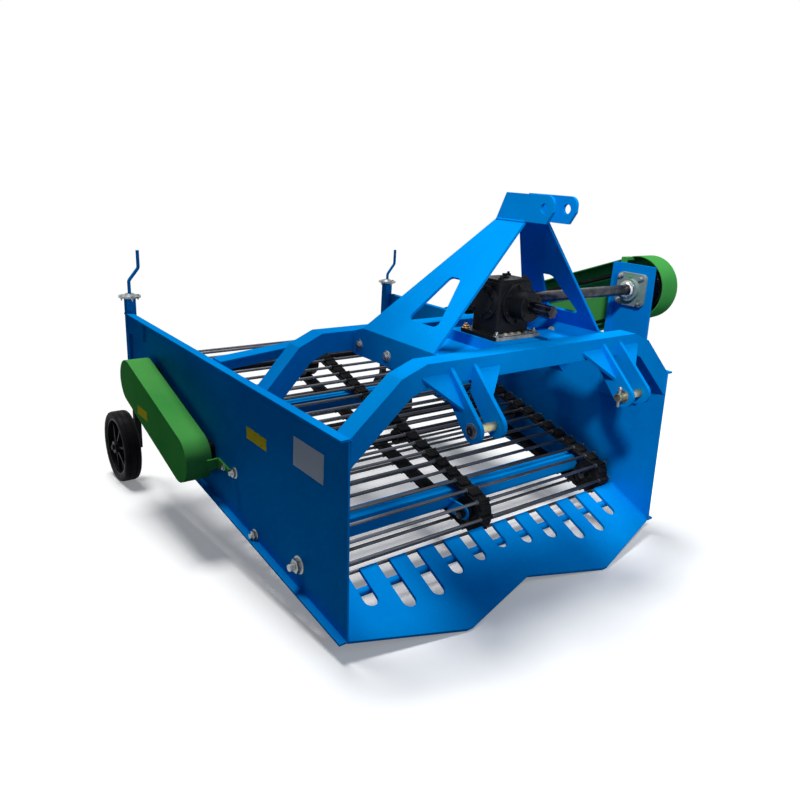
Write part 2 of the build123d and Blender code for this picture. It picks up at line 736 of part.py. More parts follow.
def web_rods():
    """Cross rods on the belts, right round the loop."""
    lift = WEB_T + ROD_R + SEAT
    points = loop_points(IDLER, IDLER_R + lift, DRIVE, DRIVE_R + lift, ROD_PITCH)
    bar = RegularPolygon(ROD_R, ROD_SIDES)
    return [slab_y(Pos(x, z) * bar, ROD_PLAY - INN, INN - ROD_PLAY) for x, z in points]


def rollers(centre, radius, y0, y1, bar, width):
    """A shaft with one wheel under each belt."""
    total = shaft_y(centre[0], centre[1], bar, y0, y1)
    for y in (-WEB_Y, 0, WEB_Y):
        total += shaft_y(centre[0], centre[1], radius, y - width / 2, y + width / 2)
    return total


def front_idlers():
    """Front idler wheels: one on a stub axle in each side plate and one on a pin in the hangers."""
    half = ROLLER_W / 2
    radius = IDLER_R - SEAT
    pin = HANGER_Y + HANGER_T + IDLER_NUT
    right = shaft_y(*IDLER, IDLER_AXLE_R, -INN, half - WEB_Y + IDLER_NUT)
    right += shaft_y(*IDLER, radius, -WEB_Y - half, half - WEB_Y)
    middle = shaft_y(*IDLER, IDLER_AXLE_R, -pin, pin) + shaft_y(*IDLER, radius, -half, half)
    return [right, middle, other_side(right)]


def drive_roller():
    """Rear shaft with its drive wheels, the chain sprocket and the large belt pulley."""
    total = rollers(DRIVE, DRIVE_R - SEAT, CHAIN_Y - SPROCKET_TAIL, BELT_Y + SHAFT_TAIL, SHAFT_R, ROLLER_W)
    total += shaft_y(*DRIVE, SPROCKET_R[0], CHAIN_Y - SPROCKET_T / 2, CHAIN_Y + SPROCKET_T / 2)
    return total + pulley(DRIVE, DRIVEN_PULLEY_R)


def carrier_rollers():
    """Rollers that carry the middle of the upper run."""
    centre = upper_run(CARRIER_X, CARRIER_R + SEAT)
    return rollers(centre, CARRIER_R, -INN, INN, CARRIER_AXLE_R, ROLLER_W)


def agitator():
    """Shaft with one eccentric disc under each belt and the chain sprocket."""
    n = upper_normal()
    up = run_distance(AGITATOR, n)
    down = run_distance(AGITATOR, lower_normal())
    radius = (up + down - AGITATOR_PLAY) / 2
    lift = up - AGITATOR_LIFT - radius
    centre = (AGITATOR[0] + n[0] * lift, AGITATOR[1] + n[1] * lift)
    total = shaft_y(*AGITATOR, SHAFT_R, CHAIN_Y - SPROCKET_TAIL, OUT + BEARING_H + PASS)
    total += shaft_y(*AGITATOR, SPROCKET_R[1], CHAIN_Y - SPROCKET_T / 2, CHAIN_Y + SPROCKET_T / 2)
    for y in (-WEB_Y, 0, WEB_Y):
        total += shaft_y(centre[0], centre[1], radius, y - AGITATOR_W / 2, y + AGITATOR_W / 2)
    return total


def front_beam():
    """Cross tube between the conveyor's runs with the middle idler's two hangers."""
    front = IDLER[0] - IDLER_R - BEAM_GAP
    beam = cross_tube(front, upper_run(front, BEAM_GAP)[1])
    for y in (-HANGER_Y - HANGER_T, HANGER_Y):
        hanger = box(front, IDLER[0], y, y + HANGER_T, IDLER[1] - HANGER_R, IDLER[1] + HANGER_R)
        hanger += shaft_y(*IDLER, HANGER_R, y, y + HANGER_T)
        beam += hanger - shaft_y(*IDLER, IDLER_AXLE_R + SEAT, y - PASS, y + HANGER_T + PASS)
    return beam


def rear_beam():
    """Cross tube between the conveyor's runs behind the agitator."""
    front = AGITATOR[0] - BEAM_GAP - run_distance(AGITATOR, upper_normal())
    return cross_tube(front, upper_run(front, BEAM_GAP)[1])


def blade_z(x):
    """Height of the blade's upper face."""
    return BLADE_AT[1] - (x - BLADE_AT[0]) * tan(radians(BLADE_SLOPE))


def blade():
    """Two-nosed digging blade with open slots at its rear."""
    slope = radians(BLADE_SLOPE)
    plane = Plane(
        origin=(BLADE_REAR_X, 0, blade_z(BLADE_REAR_X)),
        x_dir=(cos(slope), 0, -sin(slope)),
        z_dir=(sin(slope), 0, cos(slope)),
    )

    def along(x):
        return (x - BLADE_REAR_X) / cos(slope)

    right_half = [
        (0, -INN),
        (along(FRONT_RAKE), -INN),
        (along(NOSE_X), -NOSE_Y - NOSE_FLAT / 2),
        (along(NOSE_X), -NOSE_Y + NOSE_FLAT / 2),
    ]
    left_half = [(s, -y) for s, y in reversed(right_half)]
    outline = area(*right_half, (along(NOTCH_X), 0), *left_half)
    last = len(SLOT_END_X) - 1
    for k in range(-last, last + 1):
        end = along(SLOT_END_X[abs(k)]) - SLOT_W / 2
        cut = Pos(0, k * SLOT_PITCH) * Rectangle(2 * end, SLOT_W)
        outline = outline - cut - Pos(end, k * SLOT_PITCH) * Circle(SLOT_W / 2)
    return extrude(plane * outline, amount=-BLADE_T)


def tie_rods():
    """Round rods between the plates, under the blade's fingers and under the conveyor."""
    slope = radians(BLADE_SLOPE)
    down = BLADE_T + BLADE_ROD_R + SEAT
    at = BLADE_REAR_X + BLADE_ROD_AT
    blade_rod = (at - down * sin(slope), blade_z(at) - down * cos(slope))
    low_rod = (LOW_ROD_X, plate_bottom(LOW_ROD_X) + PLATE_T + LOW_ROD_R)
    return [shaft_y(*blade_rod, BLADE_ROD_R, -INN, INN), shaft_y(*low_rod, LOW_ROD_R, -INN, INN)]


def wheel_post():
    """Right post tube with the plate that ties it to the side plate."""
    inner = POST - 2 * POST_WALL
    height = POST_TOP - POST_BOTTOM
    middle = Pos(POST_X, -POST_Y, (POST_TOP + POST_BOTTOM) / 2)
    tie = box(POST_X, POST_X + POST / 2 + TIE_L, -OUT - TIE_T, -OUT, TIE_BOTTOM, -PLATE_T)
    return middle * Box(POST, POST, height) + tie - middle * Box(inner, inner, height)


def post_cap():
    """Round flange on the right post with a low hub for the crank."""
    rise = CAP_DISC_T + CAP_HUB_T
    disc = Pos(0, 0, CAP_DISC_T / 2) * Cylinder(CAP_DISC_R, CAP_DISC_T)
    hub = Pos(0, 0, CAP_DISC_T + CAP_HUB_T / 2) * Cone(CAP_HUB_R, CAP_HUB_R - CAP_HUB_T, CAP_HUB_T)
    cap = disc + hub - Pos(0, 0, rise / 2) * Cylinder(CRANK_R + SEAT, 2 * rise)
    return Pos(POST_X, -POST_Y, POST_TOP) * cap


def crank(y, down):
    """Bent crank rod of a wheel post, screwed down by so much; both cranks point to the left."""
    low, high, end = [POST_TOP + rise - down for rise in CRANK_RISE]
    path = FilletPolyline(
        (POST_X, y, POST_TOP - CRANK_FOOT - down),
        (POST_X, y, low),
        (POST_X, y + CRANK_OFFSET, high),
        (POST_X, y + CRANK_OFFSET, end),
        radius=CRANK_BEND_R,
    )
    return sweep(Plane(origin=path @ 0, z_dir=path % 0) * Circle(CRANK_R), path=path)


def wheel_leg():
    """Right sliding leg with the stub axle at its foot."""
    bottom = WHEEL_Z - LEG_FOOT
    hollow = LEG - 2 * LEG_WALL
    middle = Pos(POST_X, -POST_Y, (LEG_TOP + bottom) / 2)
    leg = middle * Box(LEG, LEG, LEG_TOP - bottom)
    leg -= Pos(0, 0, LEG_FLOOR) * middle * Box(hollow, hollow, LEG_TOP - bottom)
    return leg + shaft_y(POST_X, WHEEL_Z, AXLE_R, -WHEEL_Y - WHEEL_W / 2 - AXLE_TAIL, -POST_Y - LEG / 2)


def on_wheel(outline):
    """A ring about the right wheel's axle from an outline in radius and width."""
    return Pos(POST_X, -WHEEL_Y, WHEEL_Z) * Rot(90, 0, 0) * revolve(Plane.XZ * outline, axis=Axis.Z)


def tyre():
    """Right tyre with cut shoulders."""
    half = WHEEL_W / 2
    right_half = [
        (RIM_R, TYRE_BEAD - half),
        (WHEEL_R - TYRE_SHOULDER, -half),
        (WHEEL_R, TYRE_SHOULDER - half),
    ]
    return on_wheel(area(*right_half, *[(r, -w) for r, w in reversed(right_half)]))


def rim():
    """Right rim: ring, disc and hub in one turned piece."""
    edge = RIM_R - SEAT
    hub = AXLE_R + HUB_T
    hub_half = WHEEL_W / 2 + HUB_PROUD
    right_half = [
        (AXLE_R + SLIP, -hub_half),
        (hub, -hub_half),
        (hub, -DISC_T / 2),
        (edge - RIM_T, -DISC_T / 2),
        (edge - RIM_T, -RIM_W / 2),
        (edge, -RIM_W / 2),
    ]
    return on_wheel(area(*right_half, *[(r, -w) for r, w in reversed(right_half)]))


# Standing: nose tips and wheels on the floor, the outline centred over the origin.
slope_down = radians(BLADE_SLOPE)
nose_low = (NOSE_X - BLADE_T * sin(slope_down), blade_z(NOSE_X) - BLADE_T * cos(slope_down))
dx = nose_low[0] - POST_X
dz = nose_low[1] - WHEEL_Z
PITCH = asin(WHEEL_R / hypot(dx, dz)) + atan2(dz, dx)
floor = -nose_low[0] * sin(PITCH) + nose_low[1] * cos(PITCH)
front_end = HITCH_X * cos(PITCH) + HITCH_Z * sin(PITCH) + LUG_R
rear_end = POST_X * cos(PITCH) + WHEEL_Z * sin(PITCH) - WHEEL_R
STAND = Pos(-(front_end + rear_end) / 2, 0, -floor) * Rot(0, degrees(PITCH), 0)

NODES = {
    "side_plate_right": side_plate(),
    "front_arch": arch(0, ARCH_Z, ARCH_SLOPE, ARCH_SHOULDER),
    "rear_arch": arch(REAR_ARCH_X, REAR_ARCH_Z, REAR_ARCH_SLOPE, REAR_ARCH_SHOULDER),
    "rear_cross_bar": cross_bar(),
    "mast_rail_right": mast_rail(),
    "mast_plate_right": mast_plate(),
    "mast_head": mast_head(),
    "hitch_lugs_right": hitch_lugs(),
    "hitch_pin_right": hitch_pin(-HITCH_Y, PIN_TAIL[0]),
    "hitch_pin_left": hitch_pin(HITCH_Y, PIN_TAIL[1]),
    "gearbox_base": gearbox_base(),
    "gearbox": gearbox(),
    "pto_shaft": pto_shaft(),
    "cross_shaft": cross_shaft(),
    "drive_belts": drive_belts(),
    "bearing_bracket": bearing_bracket(),
    "shaft_bearing": flange_bearing(SHAFT_X, SHAFT_Z, SHAFT_BEARING, INN - BRACKET_T, -1, SHAFT_R + SLIP),
    "plate_bearings": plate_bearings(),
    "left_guard": left_guard(),
    "right_guard": right_guard(),
    "agitator_chain": chain(),
    "web_belts": web_belts(),
    "web_rods": web_rods(),
    "front_idlers": front_idlers(),
    "drive_roller": drive_roller(),
    "carrier_rollers": carrier_rollers(),
    "agitator": agitator(),
    "front_beam": front_beam(),
    "rear_beam": rear_beam(),
    "blade": blade(),
    "tie_rods": tie_rods(),
    "wheel_post_right": wheel_post(),
    "post_cap_right": post_cap(),
    "crank_right": crank(-POST_Y, 0),
    "crank_left": crank(POST_Y, LEFT_CRANK_DOWN),
    "wheel_leg_right": wheel_leg(),
    "tyre_right": tyre(),
    "rim_right": rim(),
}

MIRRORED = (
    "side_plate",
    "mast_rail",
    "mast_plate",
    "hitch_lugs",
    "wheel_post",
    "post_cap",
    "wheel_leg",
    "tyre",
    "rim",
)
for name in MIRRORED:
    right = NODES[name + "_right"]
    if isinstance(right, list):
        NODES[name + "_left"] = [other_side(piece) for piece in right]
    else:
        NODES[name + "_left"] = other_side(right)

os.makedirs("parts", exist_ok=True)
for name, shape in NODES.items():
    if isinstance(shape, list):
        shape = Compound(children=[Part() + piece for piece in shape])
    export_step(STAND * shape, "parts/" + name + ".step")
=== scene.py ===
"""Sweet potato digger: finishes, small parts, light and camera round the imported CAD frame."""

import json
from math import acos, atan2, cos, hypot, pi, radians, sin, sqrt, tan

import bmesh
import bpy
from mathutils import Matrix, Vector


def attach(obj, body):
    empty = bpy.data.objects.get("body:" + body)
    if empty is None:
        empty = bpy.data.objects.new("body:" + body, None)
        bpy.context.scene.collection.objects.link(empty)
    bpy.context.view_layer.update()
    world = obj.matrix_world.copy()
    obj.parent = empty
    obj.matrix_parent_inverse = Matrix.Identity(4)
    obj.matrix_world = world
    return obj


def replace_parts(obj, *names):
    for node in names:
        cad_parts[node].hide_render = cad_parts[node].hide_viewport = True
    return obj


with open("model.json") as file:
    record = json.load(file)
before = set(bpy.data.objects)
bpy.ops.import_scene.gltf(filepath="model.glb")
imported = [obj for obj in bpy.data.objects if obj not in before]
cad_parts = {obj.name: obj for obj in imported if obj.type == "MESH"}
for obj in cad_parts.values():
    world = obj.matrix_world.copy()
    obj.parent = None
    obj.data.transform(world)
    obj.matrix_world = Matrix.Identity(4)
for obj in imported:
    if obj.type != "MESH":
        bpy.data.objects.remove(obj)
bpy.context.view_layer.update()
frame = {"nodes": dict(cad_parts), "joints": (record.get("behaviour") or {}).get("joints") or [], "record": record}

# The machine frame of the CAD source, in millimetres: x forward from the front edge of the side
# plates, y left, z up from their top edge. It is read back from the axis of a sliding leg and the
# place of the top-link bore.
MM = 0.001
TOP_LINK_AT = (-16.0, 0.0, 529.0)
leg_axis = next(j["axis"] for j in frame["joints"] if j["name"] == "leg_right_height")
top_link = next(m["pos_m"] for m in frame["record"]["mounts"] if m["name"] == "top_link")
TURN = Matrix.Rotation(atan2(leg_axis[0], leg_axis[2]), 4, "Y")
ORIGIN = Vector(top_link) - TURN @ (Vector(TOP_LINK_AT) * MM)
PLACE = Matrix.Translation(ORIGIN) @ TURN @ Matrix.Scale(MM, 4)

FORWARD = (1, 0, 0)
LEFT = (0, 1, 0)
RIGHT = (0, -1, 0)
UP = (0, 0, 1)
DOWN = (0, 0, -1)
WAYS = (-1, 1)

# Sizes repeated from the CAD source. An axis that lies across the machine is given as (x, z).
PLATE_OUT = 650.0
IDLER = (-222.0, -447.0)
IDLER_R = 52.0
DRIVE = (-1320.0, -200.0)
DRIVE_R = 70.0
AGITATOR = (-830.0, -330.0)
SHAFT = (-182.0, 255.0)
WEB_T = 8.0
WEB_W = 58.0
WEB_ROWS = (-600.0, 0.0, 600.0)
ROD_R = 5.5
ROD_PLAY = 0.3
ROD_LIFT = WEB_T + ROD_R + ROD_PLAY
ROD_PITCH = 58.0
ROD_END = 632.0
BLADE_AT = (21.0, -545.0)
BLADE_SLOPE = radians(24.0)
POST_X = -1620.0
POST_Y = 641.0
WHEEL = (-1620.0, 707.0, -571.0)


# Node materials

BEVEL_SAMPLES = 4
EDGE_TURN = (0.985, 0.80)
BUMP_DEPTH = 0.001
MARK_BORDER = 0.5


def material(name, build):
    """A node material whose nodes are made by build(tree, shader)."""
    mat = bpy.data.materials.new(name)
    mat.use_nodes = True
    tree = mat.node_tree
    build(tree, tree.nodes["Principled BSDF"])
    return mat


def node(tree, kind, **inputs):
    """A shader node with values set on its sockets, given by name."""
    made = tree.nodes.new(kind)
    for key, value in inputs.items():
        made.inputs[key].default_value = value
    return made


def combined(tree, operation, a, b):
    """Two factor sockets put together by a maths node."""
    made = tree.nodes.new("ShaderNodeMath")
    made.operation = operation
    tree.links.new(a, made.inputs[0])
    tree.links.new(b, made.inputs[1])
    return made.outputs[0]


def noise_of(tree, scale, detail=4.0, rough=0.55, stretch=None):
    """Noise in object coordinates; returns its factor socket."""
    place = tree.nodes.new("ShaderNodeTexCoord")
    source = place.outputs["Object"]
    if stretch:
        mapping = node(tree, "ShaderNodeMapping", Scale=stretch)
        tree.links.new(source, mapping.inputs["Vector"])
        source = mapping.outputs["Vector"]
    made = node(tree, "ShaderNodeTexNoise", Scale=scale, Detail=detail, Roughness=rough)
    tree.links.new(source, made.inputs["Vector"])
    return made.outputs["Fac"]


def ramp(tree, source, span, to=(0.0, 1.0)):
    """The source's values between the two of span, spread between the two of to."""
    made = tree.nodes.new("ShaderNodeMapRange")
    for name, value in zip(("From Min", "From Max", "To Min", "To Max"), (*span, *to)):
        made.inputs[name].default_value = value
    tree.links.new(source, made.inputs["Value"])
    return made.outputs["Result"]


def clouds(tree, scale, span, to=(0.0, 1.0), detail=4.0, rough=0.55, stretch=None):
    """A cloudy factor: noise levels between the two of span, spread between the two of to."""
    return ramp(tree, noise_of(tree, scale, detail, rough, stretch), span, to)


def mixed(tree, factor, first, second):
    """Two colours, each a socket or three numbers, mixed by a factor socket."""
    made = tree.nodes.new("ShaderNodeMix")
    made.data_type = "RGBA"
    tree.links.new(factor, made.inputs["Factor"])
    for socket, value in (("A", first), ("B", second)):
        target = [s for s in made.inputs if s.name == socket and s.type == "RGBA"][0]
        if isinstance(value, tuple):
            target.default_value = (*value, 1.0)
        else:
            tree.links.new(value, target)
    return [s for s in made.outputs if s.type == "RGBA"][0]


def rounded_normal(tree, radius):
    """The normal that the shape would have with its edges rounded."""
    soft = node(tree, "ShaderNodeBevel", Radius=radius)
    soft.samples = BEVEL_SAMPLES
    return soft.outputs["Normal"]


def edge_of(tree, reach):
    """Factor that is 1 on sharp edges, where a rounded normal turns away from the true one."""
    flat = tree.nodes.new("ShaderNodeNewGeometry")
    dot = tree.nodes.new("ShaderNodeVectorMath")
    dot.operation = "DOT_PRODUCT"
    tree.links.new(rounded_normal(tree, reach), dot.inputs[0])
    tree.links.new(flat.outputs["Normal"], dot.inputs[1])
    return ramp(tree, dot.outputs["Value"], EDGE_TURN)


def coat(tree, shader, colour, gloss, height, strength, bevel):
    """Colour, roughness and a bump over rounded edges into the shader."""
    tree.links.new(colour, shader.inputs["Base Color"])
    tree.links.new(gloss, shader.inputs["Roughness"])
    skin = node(tree, "ShaderNodeBump", Strength=strength, Distance=BUMP_DEPTH)
    tree.links.new(height, skin.inputs["Height"])
    tree.links.new(rounded_normal(tree, bevel), skin.inputs["Normal"])
    tree.links.new(skin.outputs["Normal"], shader.inputs["Normal"])


def on_machine(tree):
    """X, Y and Z sockets in machine millimetres, for a mark painted at a place."""
    place = tree.nodes.new("ShaderNodeTexCoord")
    mapping = node(
        tree, "ShaderNodeMapping", Location=ORIGIN, Rotation=TURN.to_euler(), Scale=(MM, MM, MM),
    )
    mapping.vector_type = "TEXTURE"
    tree.links.new(place.outputs["Object"], mapping.inputs["Vector"])
    split = tree.nodes.new("ShaderNodeSeparateXYZ")
    tree.links.new(mapping.outputs["Vector"], split.inputs["Vector"])
    return split.outputs


def inside(tree, source, low, high):
    """Factor that is 1 where a socket's value lies between low and high, with a soft border."""
    rise = ramp(tree, source, (low - MARK_BORDER, low + MARK_BORDER))
    fall = ramp(tree, source, (high + MARK_BORDER, high - MARK_BORDER))
    return combined(tree, "MULTIPLY", rise, fall)


def paint(deep, bright, worn, tint, rough=0.30, patch=None):
    """Sprayed paint: slow colour change, faint dust, worn edges and a fine orange-peel bump.

    A patch is a colour and the x, y and z spans of the box that it fills, in machine millimetres.
    """
    def build(tree, shader):
        body = mixed(tree, clouds(tree, 2.3, (0.36, 0.66)), deep, bright)
        dust = clouds(tree, 17.0, (0.60, 0.85), (0.0, 0.06), detail=8.0, rough=0.65)
        body = mixed(tree, dust, body, (0.20, 0.24, 0.28))
        if patch:
            colour, *spans = patch
            sockets = on_machine(tree)
            mask, *others = [inside(tree, at, *span) for at, span in zip(sockets, spans)]
            for other in others:
                mask = combined(tree, "MULTIPLY", mask, other)
            body = mixed(tree, mask, body, colour)
        chips = clouds(tree, 95.0, (0.50, 0.62), (0.0, 0.5), detail=5.0, rough=0.7)
        chipped = combined(tree, "MULTIPLY", edge_of(tree, 0.0012), chips)
        body = mixed(tree, chipped, body, worn)
        gloss = clouds(tree, 9.0, (0.3, 0.75), (rough - 0.06, rough + 0.14), detail=6.0)
        peel = noise_of(tree, 420.0, detail=2.0)
        coat(tree, shader, body, gloss, peel, strength=0.04, bevel=0.0014)
        shader.inputs["Specular IOR Level"].default_value = 0.0
        shader.inputs["Specular Tint"].default_value = (*tint, 1.0)
        shader.inputs["Metallic"].default_value = 0.05
    return build


def metal(dark, light, rough, spots, stretch=None, metallic=1.0):
    """Bare or plated metal with streaks, dull spots and a grain."""
    def build(tree, shader):
        streaks = clouds(tree, 28.0, (0.35, 0.68), detail=6.0, rough=0.6, stretch=stretch)
        body = mixed(tree, streaks, dark, light)
        stain = clouds(tree, 60.0, (0.58, 0.80), (0.0, 0.45), detail=7.0, rough=0.7)
        body = mixed(tree, stain, body, spots)
        gloss = clouds(tree, 45.0, (0.3, 0.7), (rough - 0.10, rough + 0.15), detail=5.0)
        grain = noise_of(tree, 260.0, detail=3.0)
        coat(tree, shader, body, gloss, grain, strength=0.12, bevel=0.0008)
        shader.inputs["Metallic"].default_value = metallic
    return build


def cast(dark, light, rough=0.45, edge=(0.10, 0.105, 0.11)):
    """Painted casting: rough skin, grey on its edges."""
    def build(tree, shader):
        body = mixed(tree, clouds(tree, 8.0, (0.35, 0.68), detail=5.0), dark, light)
        worn = clouds(tree, 70.0, (0.44, 0.60), (0.0, 0.6), detail=5.0, rough=0.7)
        rubbed = combined(tree, "MULTIPLY", edge_of(tree, 0.0016), worn)
        body = mixed(tree, rubbed, body, edge)
        gloss = clouds(tree, 30.0, (0.3, 0.7), (rough - 0.10, rough + 0.15), detail=5.0)
        sand = noise_of(tree, 190.0, detail=6.0, rough=0.7)
        coat(tree, shader, body, gloss, sand, strength=0.30, bevel=0.0018)
        shader.inputs["Specular IOR Level"].default_value = 0.10
    return build


def rubber(dark, light, dust, amount=0.35):
    """Black rubber with grey dust in patches."""
    def build(tree, shader):
        body = mixed(tree, clouds(tree, 14.0, (0.35, 0.7), detail=5.0), dark, light)
        grey = clouds(tree, 38.0, (0.5, 0.78), (0.0, amount), detail=8.0, rough=0.7)
        body = mixed(tree, grey, body, dust)
        gloss = clouds(tree, 24.0, (0.3, 0.7), (0.50, 0.76))
        pores = noise_of(tree, 330.0)
        coat(tree, shader, body, gloss, pores, strength=0.18, bevel=0.001)
        shader.inputs["Specular IOR Level"].default_value = 0.06
    return build


BLUE = ((0.0, 0.235, 0.70), (0.0, 0.30, 0.84), (0.02, 0.30, 0.74), (0.0, 0.55, 1.0))
GREEN = ((0.060, 0.34, 0.070), (0.105, 0.43, 0.095), (0.26, 0.50, 0.22), (0.35, 1.0, 0.4))
WHITE = (1.0, 1.0, 1.0)
GUARD_PATCH = ((0.86, 0.64, 0.03), (-1212.0, -1112.0), (-765.0, -756.0), (-292.0, -258.0))
SIGN_ROUGH = 0.4

# The record's material slots come first, then the looks that only this scene has
FINISHES = {
    "blue_paint": paint(*BLUE),
    "green_paint": paint(*GREEN),
    "black_casting": cast((0.0035, 0.0042, 0.0052), (0.009, 0.010, 0.012)),
    "bearing_casting": cast(
        (0.16, 0.24, 0.22), (0.26, 0.35, 0.32), rough=0.42, edge=(0.45, 0.48, 0.46),
    ),
    "steel": metal(
        (0.020, 0.022, 0.027), (0.075, 0.080, 0.095), rough=0.30, spots=(0.03, 0.028, 0.025),
    ),
    "rod_steel": metal(
        (0.055, 0.060, 0.070), (0.125, 0.130, 0.145), rough=0.42, spots=(0.060, 0.052, 0.045),
        stretch=(1.0, 0.12, 1.0), metallic=0.85,
    ),
    "zinc": metal((0.17, 0.19, 0.20), (0.36, 0.38, 0.38), rough=0.36, spots=(0.14, 0.13, 0.12)),
    "yellow_zinc": metal(
        (0.42, 0.36, 0.19), (0.60, 0.53, 0.32), rough=0.34, spots=(0.26, 0.19, 0.09),
    ),
    "belt_rubber": rubber((0.007, 0.007, 0.008), (0.017, 0.017, 0.018), (0.07, 0.065, 0.06)),
    "tyre": rubber(
        (0.0045, 0.005, 0.0055), (0.009, 0.009, 0.0095), (0.03, 0.029, 0.027), amount=0.25,
    ),
    "black_paint": cast((0.005, 0.006, 0.008), (0.012, 0.013, 0.016), rough=0.42),
    "bright_steel": metal(
        (0.46, 0.46, 0.46), (0.68, 0.68, 0.67), rough=0.24, spots=(0.30, 0.28, 0.25),
    ),
    "bronze_plate": metal(
        (0.42, 0.22, 0.07), (0.60, 0.35, 0.13), rough=0.36, spots=(0.24, 0.13, 0.05),
    ),
    "worn_strip": metal(
        (0.24, 0.23, 0.20), (0.44, 0.43, 0.39), rough=0.5, spots=(0.10, 0.12, 0.13), metallic=0.5,
    ),
    "guard_paint": paint(*GREEN, patch=GUARD_PATCH),
    "yellow_sign": paint(
        (0.86, 0.66, 0.02), (0.94, 0.75, 0.03), (0.88, 0.78, 0.45), WHITE, SIGN_ROUGH,
    ),
    "white_sign": paint(
        (0.72, 0.77, 0.82), (0.80, 0.84, 0.88), (0.55, 0.55, 0.55), WHITE, SIGN_ROUGH,
    ),
}
LOOKS = {name: material(name, build) for name, build in FINISHES.items()}

for part in frame["record"]["subparts"]:
    look = "guard_paint" if part["node"] == "right_guard" else part["material_slot"]
    piece = frame["nodes"][part["node"]]
    if not piece.material_slots:
        piece.data.materials.append(None)
    for place in piece.material_slots:
        place.link = "OBJECT"
        place.material = LOOKS[look]


# Mesh helpers: everything is drawn in machine millimetres and set in place at the end

# Profiles of a bolt of size 1, as (distance along, radius)
WASHER = ((0.0, 1.22), (0.098, 1.22), (0.14, 1.15))
HEAD = ((0.0, 0.9506), (0.05, 0.98), (0.54, 0.98), (0.62, 0.8428))
DOME = ((0.0, 0.62), (0.04, 0.56))
THREAD = (0.45, 0.50)
THREAD_STEPS = 8
WASHER_SIDES = 24
HEAD_SIDES = 6
STUD_SIDES = 14

WELD_SIDES = 10
WELD_SWELL = (0.80, 1.0)
WELD_STEP = 7.0
SHARP_ANGLE = 38.0
WELD_SHARP_ANGLE = 60.0


def scaled(profile, size):
    """A profile of (distance along, radius) pairs at another size."""
    return [(s * size, r * size) for s, r in profile]


def chamfered(length, radius, run, drop):
    """Profile of a round bar with a chamfer on both ends."""
    return [(0, radius - drop), (run, radius), (length - run, radius), (length, radius - drop)]


def circle(count, start=0.0):
    """Evenly spaced angles round a circle."""
    return [start + 2 * pi * k / count for k in range(count)]


class Draft:
    """A mesh under construction, in machine millimetres."""

    def __init__(self):
        self.bm = bmesh.new()

    def ring(self, points):
        """Vertices at a row of points."""
        return [self.bm.verts.new(Vector(point)) for point in points]

    def join(self, low, high):
        """Quads between two rings."""
        count = len(low)
        for k in range(count):
            self.bm.faces.new((low[k], low[(k + 1) % count], high[(k + 1) % count], high[k]))

    def loft(self, rings):
        """A skin over a row of rings, shut at both ends."""
        for low, high in zip(rings, rings[1:]):
            self.join(low, high)
        self.bm.faces.new(list(reversed(rings[0])))
        self.bm.faces.new(rings[-1])

    def turned(self, base, axis, profile, sides, start=0.0):
        """A turned body along an axis from a profile of (distance along, radius) pairs."""
        n = Vector(axis).normalized()
        u = n.orthogonal().normalized()
        v = n.cross(u)
        angles = circle(sides, start)
        self.loft([
            self.ring(Vector(base) + n * s + r * (cos(a) * u + sin(a) * v) for a in angles)
            for s, r in profile
        ])

    def prism(self, corners, shift):
        """A flat outline pushed along a vector."""
        shift = Vector(shift)
        self.loft([self.ring(corners), self.ring(Vector(c) + shift for c in corners)])

    def block(self, low, high):
        """A box between two opposite corners."""
        (x0, y0, z0), (x1, y1, z1) = low, high
        self.prism([(x0, y0, z0), (x1, y0, z0), (x1, y1, z0), (x0, y1, z0)], (0, 0, z1 - z0))

    def lathe_y(self, axis, profile, sides):
        """A closed profile of (y, radius) pairs turned about an axis (x, z) along y."""
        x, z = axis
        angles = circle(sides)
        rings = [
            self.ring((x + r * cos(a), y, z + r * sin(a)) for a in angles) for y, r in profile
        ]
        for low, high in zip(rings, rings[1:] + rings[:1]):
            self.join(low, high)

    def bolt(self, at, axis, size, washer=True, stud=0.0, turn=0.0):
        """Hexagon head with a low dome, or with a threaded end if a stud's length is given."""
        base = Vector(at)
        n = Vector(axis).normalized()
        if washer:
            self.turned(base, n, scaled(WASHER, size), WASHER_SIDES)
            base = base + n * (WASHER[-1][0] * size)
        self.turned(base, n, scaled(HEAD, size), HEAD_SIDES, turn)
        top = base + n * (HEAD[-1][0] * size)
        if stud:
            step = stud / THREAD_STEPS
            thread = [(k * step, THREAD[k % 2] * size) for k in range(THREAD_STEPS + 1)]
            self.turned(top, n, thread, STUD_SIDES)
        else:
            self.turned(top, n, scaled(DOME, size), STUD_SIDES)

    def weld(self, start, end, radius, step=WELD_STEP):
        """A bead of overlapping scales between two points."""
        line = Vector(end) - Vector(start)
        run = line.length
        count = 2 * max(2, int(run / step))
        bead = [(run * k / count, radius * WELD_SWELL[k % 2]) for k in range(count + 1)]
        self.turned(start, line, bead, WELD_SIDES)

    def done(self, name, slot, look=None, body="frame", sharp=SHARP_ANGLE):
        """The finished object in the row frame, riding on a body, in its slot's look or another."""
        bmesh.ops.recalc_face_normals(self.bm, faces=self.bm.faces)
        mesh = bpy.data.meshes.new(name)
        self.bm.transform(PLACE)
        self.bm.to_mesh(mesh)
        self.bm.free()
        mesh.shade_smooth()
        mesh.set_sharp_from_angle(angle=radians(sharp))
        made = bpy.data.objects.new(name, mesh)
        bpy.context.scene.collection.objects.link(made)
        mesh.materials.append(LOOKS[look or slot])
        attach(made, body)
        return made


